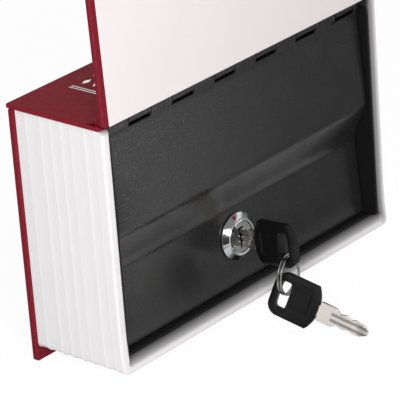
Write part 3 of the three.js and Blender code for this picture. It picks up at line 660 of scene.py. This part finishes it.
# The section is the curl, a circle about the pin, and then the sheet, which drops from it. A
# smooth joggle brings it out from under the curl. The step slopes evenly between two ramps,
# and the second ramp is shared by a soft fillet and the crisp crease.
turn = np.linspace(curl_start, curl_end, curl_steps)
curl = lid_curl * np.c_[np.cos(turn), np.sin(turn)]
drops = np.r_[np.linspace(0, lid_slot_drop, slot_steps)[1:],
              np.linspace(lid_slot_drop, lid_foot_drop, drop_steps)[1:]]
share = np.clip(drops / lid_joggle, 0, 1)
joggle = -lid_curl * (1 - share ** 2 * (3 - 2 * share))
slope = lid_step / (lid_crease_drop - lid_mid_drop - lid_fillet_share * lid_fillet_run)
step = slope * (
    eased(drops - lid_mid_drop, lid_bend_soft)
    - lid_fillet_share * eased(drops - lid_crease_drop + lid_fillet_run, lid_fillet_soft)
    - (1 - lid_fillet_share) * eased(drops - lid_crease_drop, lid_crease_soft))
section = np.concatenate([curl, np.c_[joggle + step, -drops]])
starts = -lid_half + knuckle_first + knuckle_pitch * np.arange(knuckle_count)
notch = np.stack([starts - knuckle_gap, starts + knuckle_width + knuckle_gap], -1)
across = np.unique(np.r_[np.linspace(-lid_half, lid_half, across_steps), notch.ravel()])
points = np.empty((len(across), len(section), 3))
points[..., 0] = across[:, None]
points[..., 1:] = section[None]
faces = grid_faces(len(across), len(section))
middle = points.reshape(-1, 3)[faces].mean(1)
in_notch = ((middle[:, :1] > notch[:, 0]) & (middle[:, :1] < notch[:, 1])).any(1)
in_notch &= middle[:, 2] > -lid_slot_drop
in_hole = np.hypot(middle[:, 0] - lock_x, middle[:, 2] + lock_drop) < lock_hole
lid_piece = new_piece("lid_sheet", turned_about("lid_hinge", lid_ajar, points),
                      faces[~(in_notch | in_hole)], closed=False)
thicken = lid_piece.modifiers.new("thickness", "SOLIDIFY")
thicken.thickness = lid_sheet
thicken.offset = 0
break_edges(lid_piece, lid_edge, lid_edge_angle)
fit(lid_piece, lid_black, "lid", "black_paint", "lid_panel")

# Lock housing: a turned and chrome-plated body with a conical bezel in front of the lid.
# A bright raised lip runs round the plug, and a red paint mark shows where the key points.
bezel_radius, bezel_foot, bezel_edge, bezel_steps = 10.5 * mm, 0.9 * mm, 0.2 * mm, 128
lip_radius, lip_width = 8.1 * mm, 0.9 * mm
bezel_height, bezel_dish = 3.1 * mm, 0.2 * mm
barrel_radius, barrel_back = 8 * mm, 20.4 * mm
plug_bore, plug_step = 5.9 * mm, 6.9 * mm
lip_foot, shelf_drop = 0.1 * mm, 2.5 * mm
shelf = bezel_height - bezel_dish - shelf_drop
seat_gap = 0.3 * mm
lid_panel_face = 8.3 * mm
wipe_size, wave_size, chrome_relief = 0.7 * mm, 4 * mm, 0.012 * mm


def on_lock(points):
    """Points given from the lock's centre on the lid's lower panel, with -Y outwards."""
    centre = np.array([lock_x, lid_panel_face, -lock_drop])
    return turned_about("lid_hinge", lid_ajar, points + centre)


def lathe(name, profile, steps, place):
    """A closed profile of radius and height, turned round through every angle a.

    Its points are radius * cos a, -height and radius * sin a.
    """
    a = np.linspace(0, 2 * np.pi, steps, endpoint=False)[:, None]
    r, h = np.asarray(profile, float).T
    points = np.stack([np.cos(a) * r, np.broadcast_to(-h, (steps, len(r))), np.sin(a) * r], -1)
    return new_piece(name, place(points), grid_faces(steps, len(r), True, True), crease=40)


def arc(centre_r, centre_h, radius, start, stop, steps):
    """Points of a circle in the profile from one angle to another, in degrees."""
    a = np.radians(np.linspace(start, stop, steps))
    return np.c_[centre_r + radius * np.cos(a), centre_h + radius * np.sin(a)].tolist()


def chrome_finish(name, colour):
    """Polished plate with faint wipe marks and a slight long wave."""
    material, tree, shader = finish_of(name, colour, 0.07, 1.0)
    place = here(tree)
    wipes = grain(tree, place, wipe_size, 4, 0.7, (1, 1, 6))
    feed(tree, shader, roughness=span(tree, wipes, 0.35, 0.75, 0.05, 0.16))
    relief(tree, shader, grain(tree, place, wave_size, 1), chrome_relief)
    return material


chrome = chrome_finish("lock_chrome", (0.62, 0.63, 0.64))
lip_round = lip_width / 3
profile = [
    (plug_bore, -barrel_back), (barrel_radius, -barrel_back), (barrel_radius, seat_gap),
    *arc(bezel_radius - bezel_edge, seat_gap + bezel_edge, bezel_edge, -90, 0, 4),
    *arc(bezel_radius - bezel_edge, bezel_foot - bezel_edge, bezel_edge, 0, 50, 4),
    (lip_radius + lip_foot, bezel_height - lip_width / 2),
    *arc(lip_radius - lip_round, bezel_height - lip_round, lip_round, 10, 170, 9),
    (plug_step, bezel_height - bezel_dish + lip_foot),
    (plug_step, shelf), (plug_bore, shelf),
]
housing = lathe("lock_bezel", profile, bezel_steps, on_lock)
fit(housing, chrome, "lid", "chrome_plate", "lock_housing")

# The mark lies on the bezel's cone, by angle and radius, a little above and below its face.
# Each cross-section runs out along its lower side and back along its upper side.
mark_angle, mark_width, mark_steps = math.radians(103), math.radians(12), 7
mark_low, mark_high = 8.7 * mm, 10.2 * mm
mark_lift = 0.05 * mm
dark_red, light_red, blot_size = (0.12, 0.016, 0.026), (0.18, 0.03, 0.045), 0.6 * mm
cone_slope = (bezel_height - lip_width / 2 - bezel_foot) / (bezel_radius - lip_radius)
red_mark, tree, shader = finish_of("red_index_paint", (0.15, 0.022, 0.035), 0.4)
feed(tree, shader, mixed(tree, grain(tree, here(tree), blot_size), dark_red, light_red))
angles = mark_angle + mark_width * np.linspace(-0.5, 0.5, mark_steps)[:, None, None]
radii = np.linspace(mark_low, mark_high, 4)[None, :, None]
lift = np.array([-mark_lift, mark_lift])[None, None]
heights = bezel_foot + (bezel_radius - radii) * cone_slope + lift
block = np.stack([radii * np.cos(angles) + 0 * lift, -heights + 0 * angles,
                  radii * np.sin(angles) + 0 * lift], -1)
loop = [0, 2, 4, 6, 7, 5, 3, 1]
shell = block.reshape(mark_steps, -1, 3)[:, loop]
index_mark = new_piece("lock_index_mark", on_lock(shell), tube_faces(mark_steps, len(loop)))
fit(index_mark, red_mark, "lid", "chrome_plate")

# Nut behind the lid, and the cam with its washer and screw: zinc-plated stock parts.
# The nut clamps the lid to the bezel, and the screw holds the cam on the plug's square tail.
for name, source, body in [
        ("clamp_nut", "lock_nut", "lid"),
        ("cam_lever", "lock_cam", "plug"),
        ("cam_screw_washer", "cam_washer", "plug"),
        ("cam_end_screw", "cam_screw", "plug"),
]:
    fit(finer_copy(name, source, small_bevel), zinc, body, "zinc_plate", source)

# Plug: the turned cylinder that the key enters, cast in zinc and plated a darker nickel.
# Its front is ground flat, and lies flush with the lip of the bezel.
plug_bevel = 0.12 * mm
plug_nickel = chrome_finish("plug_nickel", (0.38, 0.385, 0.39))
plug_piece = finer_copy("key_plug", "lock_plug", plug_bevel)
fit(plug_piece, plug_nickel, "plug", "chrome_plate", "lock_plug")

# Key blades: stamped from nickel-plated steel, then cut on both edges and grooved on both faces.
# Fine mill lines mark their sides, and painted shade darkens the grooves.
blade_bevel = 0.1 * mm
mill_size, patch_size, mill_relief = 0.35 * mm, 3 * mm, 0.004 * mm
dull_nickel, bright_nickel = (0.69, 0.65, 0.60), (0.77, 0.73, 0.685)
groove_shade, groove_shade_share = (0.16, 0.155, 0.15), 0.7
key_steel, tree, shader = finish_of("key_nickel_steel", (0.73, 0.69, 0.64), 0.18, 1.0)
place = here(tree)
mill = grain(tree, place, mill_size, 3, 0.6, (1, 5, 1))
tint = mixed(tree, grain(tree, place, patch_size, 3), dull_nickel, bright_nickel)
# Painted shade: faces sunk in the grooves are mixed towards dark grey.
grooves = node(tree, "Attribute", {}, attribute_name="sunk").outputs["Fac"]
feed(tree, shader, mixed(tree, sums(tree, grooves, groove_shade_share, "MULTIPLY"), tint, groove_shade),
     span(tree, mill, 0.3, 0.75, 0.14, 0.28))
relief(tree, shader, mill, mill_relief)
for number in (1, 2):
    blade = finer_copy(f"key_{number}_steel", f"key_{number}_blade", blade_bevel)
    fit(blade, key_steel, f"key_{number}", "key_steel", f"key_{number}_blade")

# Key bows: black plastic moulded round the blade, with a slot for the ring.
# Each face has a bevelled border and a shallow sunk panel, and is a little rubbed.
bow_length, bow_width, bow_thickness = 21.9 * mm, 19.2 * mm, 4.2 * mm
bow_rise, bow_corner, bow_points = 3 * mm, 5.2 * mm, 300
slot_length, slot_width, slot_inset, slot_power = 12.2 * mm, 5.2 * mm, 5.6 * mm, 5
border, border_drop, bow_edge = 1.3 * mm, 0.3 * mm, 0.5 * mm
edge_steps, face_steps = 6, 44
panel_length, panel_width, panel_inset = 7.4 * mm, 9.4 * mm, 14 * mm
panel_depth, panel_slope = 0.35 * mm, 0.35 * mm
bow_stand_off = 7.6 * mm
bow_front = bezel_height + bow_stand_off
key_2_turn = (math.radians(13.4), math.radians(19.5), math.radians(-168))
key_2_shift = 0.4 * mm


def bow_outline(count):
    """Arc at the blade's end, two straight sides and two quarter circles, evenly spaced.

    The arc's radius is (half ** 2 + bow_rise ** 2) / (2 * bow_rise), for a rise of bow_rise.
    """
    half = bow_width / 2
    radius = (half ** 2 + bow_rise ** 2) / (2 * bow_rise)
    swing = math.asin(half / radius)
    blunt = np.linspace(0, np.pi / 2, 16)[:, None]
    front = np.linspace(-swing, swing, 40)[:, None]
    arc_end = np.hstack([radius * np.cos(front) - radius, radius * np.sin(front)])
    corner = np.array([-bow_length + bow_corner, half - bow_corner])
    upper = corner + bow_corner * np.hstack([-np.sin(blunt), np.cos(blunt)])
    lower = (upper * [1, -1])[::-1]
    path = np.concatenate([arc_end, upper, lower, arc_end[:1]])
    far = np.r_[0, np.cumsum(np.linalg.norm(np.diff(path, axis=0), axis=1))]
    even = np.linspace(0, far[-1], count, endpoint=False)
    return np.stack([np.interp(even, far, path[:, k]) for k in (0, 1)], -1)


def key_bow(name, place):
    """A ring of rectangular section round the slot, whose outer side is the bow's outline.

    Round the ring each column joins a point of the outline to the point of the slot, a
    superellipse, in the same direction from the slot's centre. The face between them drops by
    border_drop within border of the outline, and by panel_depth inside the panel.
    """
    outline = bow_outline(bow_points)
    centre = np.array([-bow_length + slot_inset, 0])
    out = outline - centre
    angle = np.arctan2(out[:, 1], out[:, 0])
    reach = ((np.abs(np.cos(angle)) / (slot_width / 2)) ** slot_power
             + (np.abs(np.sin(angle)) / (slot_length / 2)) ** slot_power) ** (-1 / slot_power)
    slot = centre + reach[:, None] * np.stack([np.cos(angle), np.sin(angle)], -1)
    way = outline - slot
    length = np.linalg.norm(way, axis=1)
    a = np.linspace(0, np.pi / 2, edge_steps)
    face_share = np.linspace(0, 1, face_steps)[1:-1]
    edge_in, edge_drop = bow_edge * (1 - np.cos(a)), bow_edge * (1 - np.sin(a))
    distance = np.concatenate([
        np.repeat(edge_in[None], len(length), 0),
        bow_edge + (length[:, None] - 2 * bow_edge) * face_share[None],
        length[:, None] - edge_in[None, ::-1],
    ], 1)
    rim_drop = np.r_[edge_drop, np.zeros(len(face_share)), edge_drop[::-1]][None]
    flat = slot[:, None] + way[:, None] * (distance / length[:, None])[..., None]
    from_edge = length[:, None] - distance
    drop = border_drop * np.clip(1 - (from_edge - bow_edge) / border, 0, 1)
    panel = np.minimum(panel_length / 2 - np.abs(flat[..., 0] + bow_length - panel_inset),
                       panel_width / 2 - np.abs(flat[..., 1]))
    drop = drop + panel_depth * np.clip(panel / panel_slope + 0.5, 0, 1)
    height = bow_thickness / 2 - rim_drop - drop
    top = np.stack([height, flat[..., 0], flat[..., 1]], -1)
    under = (top * [-1, 1, 1])[:, ::-1]
    points = np.concatenate([top, under], 1)
    rows, cols = points.shape[:2]
    return new_piece(name, place(points), grid_faces(rows, cols, True, True), crease=45)


def on_key_1(points):
    """Points given from the apex of the bow's arc, in the first key's place in the lock."""
    return on_lock(points - np.array([0, bow_front, 0]))


def on_key_2(points):
    """Points given from the apex of the bow's arc, in the second key's place on the ring."""
    turn = [Matrix.Rotation(angle, 3, axis) for angle, axis in zip(key_2_turn, "XYZ")]
    turn = np.array(turn[0] @ turn[1] @ turn[2])
    held = np.array([0, -bow_length + slot_inset - key_2_shift, 0])
    return (points - held) @ turn.T + np.array(joints["key_2_swing"]["pos_m"])


spark_size, rub_size, spark_relief = 0.28 * mm, 5 * mm, 0.02 * mm
deep_black, rubbed_black = (0.0035, 0.0035, 0.0038), (0.007, 0.007, 0.0072)
bow_black, tree, shader = finish_of("bow_black_plastic", (0.004, 0.004, 0.0043), 0.4, specular=0.2)
place = here(tree)
spark = node(tree, "TexVoronoi", {"Vector": place, "Scale": 1 / spark_size}).outputs["Distance"]
rubbed = grain(tree, place, rub_size, 4)
feed(tree, shader, mixed(tree, span(tree, rubbed, 0.5, 0.7, 0, 1), deep_black, rubbed_black),
     span(tree, rubbed, 0.35, 0.7, 0.44, 0.32))
relief(tree, shader, spark, spark_relief)
for number, place in [(1, on_key_1), (2, on_key_2)]:
    bow = key_bow(f"key_{number}_handle", place)
    fit(bow, bow_black, f"key_{number}", "key_plastic", f"key_{number}_bow")

# Split ring: hard steel wire wound in two turns side by side, nickel-plated.
# The first key's bow hangs on the lock, and the ring passes through both slots.
wire_radius, wire_pitch = 0.49 * mm, 1.4 * mm
wire_steps, wire_sides = 421, 14
ring_radius = 8.6 * mm
ring_yaw = math.radians(11.4)
ring_turns = 2 * 360
ring_crossing, ring_end = 60, 42
draw_size = 0.5 * mm
dark_wire, bright_wire = (0.3, 0.295, 0.29), (0.43, 0.425, 0.42)

# The path is a circle, ring_radius * (cos a, 0, sin a), over two turns less ring_end degrees at
# each end. It moves over by wire_pitch on a smooth step, ring_crossing degrees long. The wire is
# a small circle round the path, blunted at both ends by a quarter circle.
t = np.linspace(0, 1, wire_steps)
degrees = ring_end + (ring_turns - 2 * ring_end) * t
rise = np.clip((degrees - ring_turns / 2 + ring_crossing / 2) / ring_crossing, 0, 1)
rise = rise * rise * (3 - 2 * rise) - 0.5
a = np.radians(degrees)
radial = np.stack([np.cos(a), 0 * a, np.sin(a)], -1)
path = ring_radius * radial + (rise * wire_pitch)[:, None] * [0, 1, 0]
from_end = np.minimum(t, 1 - t) * np.linalg.norm(np.diff(path, axis=0), axis=1).sum()
to_full = 1 - np.clip(from_end / wire_radius, 0, 1)
blunt = wire_radius * np.sqrt(np.clip(1 - to_full ** 2, 1e-4, 1))
b = np.linspace(0, 2 * np.pi, wire_sides, endpoint=False)
wire = path[:, None] + blunt[:, None, None] * (
    np.cos(b)[None, :, None] * radial[:, None] + np.sin(b)[None, :, None] * np.array([0, 1, 0]))
turn = np.array(Matrix.Rotation(ring_yaw, 3, "Z"))
ring_top = np.array(joints["ring_swing"]["pos_m"])
wire = wire @ turn.T + ring_top - [0, 0, ring_radius]
ring_piece = new_piece("wire_ring", wire, tube_faces(wire_steps, wire_sides), crease=60)
ring_steel, tree, shader = finish_of("ring_nickel_wire", (0.36, 0.355, 0.35), 0.12, 1.0)
draw = grain(tree, here(tree), draw_size, 3)
feed(tree, shader, mixed(tree, draw, dark_wire, bright_wire),
     span(tree, draw, 0.35, 0.7, 0.1, 0.26))
fit(ring_piece, ring_steel, "ring", "chrome_plate", "split_ring")

# Camera: at the photograph's angle, from a distance of about 1.3 metres.
# It is fitted to the straight edges of the book, and turned a little about its own axis.
aim = (-0.0077, -0.0249, 0.0478)
camera_azimuth, camera_height = math.radians(-48.093), math.radians(23.813)
camera_roll = math.radians(-4.36)
camera_distance = 1.272
camera_data = bpy.data.cameras.new("camera")
camera_data.sensor_width = 36
camera_data.lens = 269.73
camera_data.clip_end = 20
camera = bpy.data.objects.new("camera", camera_data)
bpy.context.scene.collection.objects.link(camera)
back = np.array([math.sin(camera_azimuth) * math.cos(camera_height),
                 -math.cos(camera_azimuth) * math.cos(camera_height), math.sin(camera_height)])
level = np.array([math.cos(camera_azimuth), math.sin(camera_azimuth), 0])
upward = np.cross(back, level)
right = math.cos(camera_roll) * level + math.sin(camera_roll) * upward
above = np.cross(back, right)
pose = Matrix([[*row, 0] for row in np.stack([right, above, back], -1)] + [[0, 0, 0, 1]])
camera.matrix_world = Matrix.Translation(np.array(aim) + camera_distance * back) @ pose
bpy.context.scene.camera = camera

# Studio: a pale floor, a white surround, one large soft lamp near the camera and a weak fill.
# Metal and paint mirror painted light on the floor, brightest at the left, and a painted shadow
# in a strip before the book. Three cards outside the picture give the chrome its darker bands.
floor_half = 3.0
floor_glow, floor_share = 1.08, 0.85
left_glow, right_glow, back_glow = 1.25, 0.19, 0.65
left_end, right_end = -0.15, -0.01
strip_start, strip_full, strip_end, strip_gone = -0.1, -0.086, -0.075, -0.069
strip_shade = 0.6
floor_size = np.array([[-1, -1, 0], [1, -1, 0], [1, 1, 0], [-1, 1, 0]]) * floor_half
floor = new_piece("floor", floor_size, [range(4)], closed=False)
floor_paint, tree, shader = finish_of("floor_white", (0.86, 0.86, 0.86), 0.9, specular=0.0)
rays = node(tree, "LightPath", {})
camera_glow = sums(tree, rays.outputs["Is Camera Ray"], floor_glow, "MULTIPLY")
# Painted light and shadow, seen only in mirrors: a fade from left to right and a shaded strip.
across = node(tree, "VectorMath", {0: here(tree), 1: (1, 1.1, 0)}, operation="DOT_PRODUCT")
fade = span(tree, across.outputs["Value"], left_end, right_end, left_glow, right_glow)
inwards = node(tree, "SeparateXYZ", {0: here(tree)}).outputs["Y"]
strip = sums(tree, span(tree, inwards, strip_start, strip_full, 0, strip_shade),
             span(tree, inwards, strip_end, strip_gone, 1, 0), "MULTIPLY")
fade = sums(tree, fade, sums(tree, 1.0, strip, "SUBTRACT"), "MULTIPLY")
fade = sums(tree, fade, span(tree, inwards, strip_end, strip_gone, 0, back_glow), "MAXIMUM")
mirror_glow = sums(tree, rays.outputs["Is Glossy Ray"], fade, "MULTIPLY")
glow = node(tree, "Emission", {"Color": (1, 1, 1, 1),
                               "Strength": sums(tree, camera_glow, mirror_glow, "MAXIMUM")})
seen = sums(tree, rays.outputs["Is Camera Ray"], rays.outputs["Is Glossy Ray"], "MAXIMUM")
both = node(tree, "MixShader", {0: sums(tree, seen, floor_share, "MULTIPLY"),
                                1: shader.outputs[0], 2: glow.outputs[0]})
tree.links.new(both.outputs[0], tree.nodes["Material Output"].inputs["Surface"])
floor.data.materials.append(floor_paint)


def card(name, level, left, right, y, low, high):
    """An upright card that only mirrors and gloss see, of one even brightness."""
    corners = [(left, y, low), (right, y, low), (right, y, high), (left, y, high)]
    made = new_piece(name, corners, [range(4)], closed=False)
    paint, tree, _ = finish_of(name, (0, 0, 0), 1.0)
    even = node(tree, "Emission", {"Color": (1, 1, 1, 1), "Strength": level})
    tree.links.new(even.outputs[0], tree.nodes["Material Output"].inputs["Surface"])
    made.data.materials.append(paint)
    for ray in ("camera", "shadow", "diffuse"):
        setattr(made, "visible_" + ray, False)
    return made


dark_card = card("dark_card", 0.05, left=-0.13, right=-0.027, y=-0.1, low=0, high=0.065)
grey_card = card("grey_card", 0.2, left=-0.35, right=0.22, y=-0.6, low=0, high=0.5)
high_card = card("high_card", 0.28, left=-0.35, right=1.3, y=-0.6, low=0.5, high=1.4)


def lamp(name, place, target, size, watts):
    """A square soft lamp that faces its target."""
    data = bpy.data.lights.new(name, "AREA")
    data.size = size
    data.energy = watts
    made = bpy.data.objects.new(name, data)
    bpy.context.scene.collection.objects.link(made)
    turn = (Vector(place) - Vector(target)).to_track_quat("Z", "Y")
    made.matrix_world = Matrix.Translation(place) @ turn.to_matrix().to_4x4()
    made.visible_camera = False
    return made


lamp("key_lamp", place=(-0.55, -0.5, 0.38), target=(0, -0.03, 0.08), size=0.4, watts=4.1)
fill_lamp = lamp("fill_lamp", place=(0.7, -0.5, 0.9), target=(0, 0, 0.06), size=0.8, watts=2)
fill_lamp.visible_glossy = False

surround_level = 0.35
world = bpy.data.worlds.new("surround")
bpy.context.scene.world = world
world.use_nodes = True
tree = world.node_tree
ambient = tree.nodes["Background"]
ambient.inputs["Color"].default_value = (1, 1, 1, 1)
ambient.inputs["Strength"].default_value = surround_level
rays = node(tree, "LightPath", {})
seen = sums(tree, rays.outputs["Is Glossy Ray"], rays.outputs["Is Transmission Ray"], "MAXIMUM")
seen = sums(tree, rays.outputs["Is Camera Ray"], seen, "MAXIMUM")
white = node(tree, "Background", {"Color": (1, 1, 1, 1), "Strength": 1.0})
both = node(tree, "MixShader", {0: seen, 1: ambient.outputs[0], 2: white.outputs[0]})
tree.links.new(both.outputs[0], tree.nodes["World Output"].inputs["Surface"])
bpy.context.scene.view_settings.view_transform = "Standard"
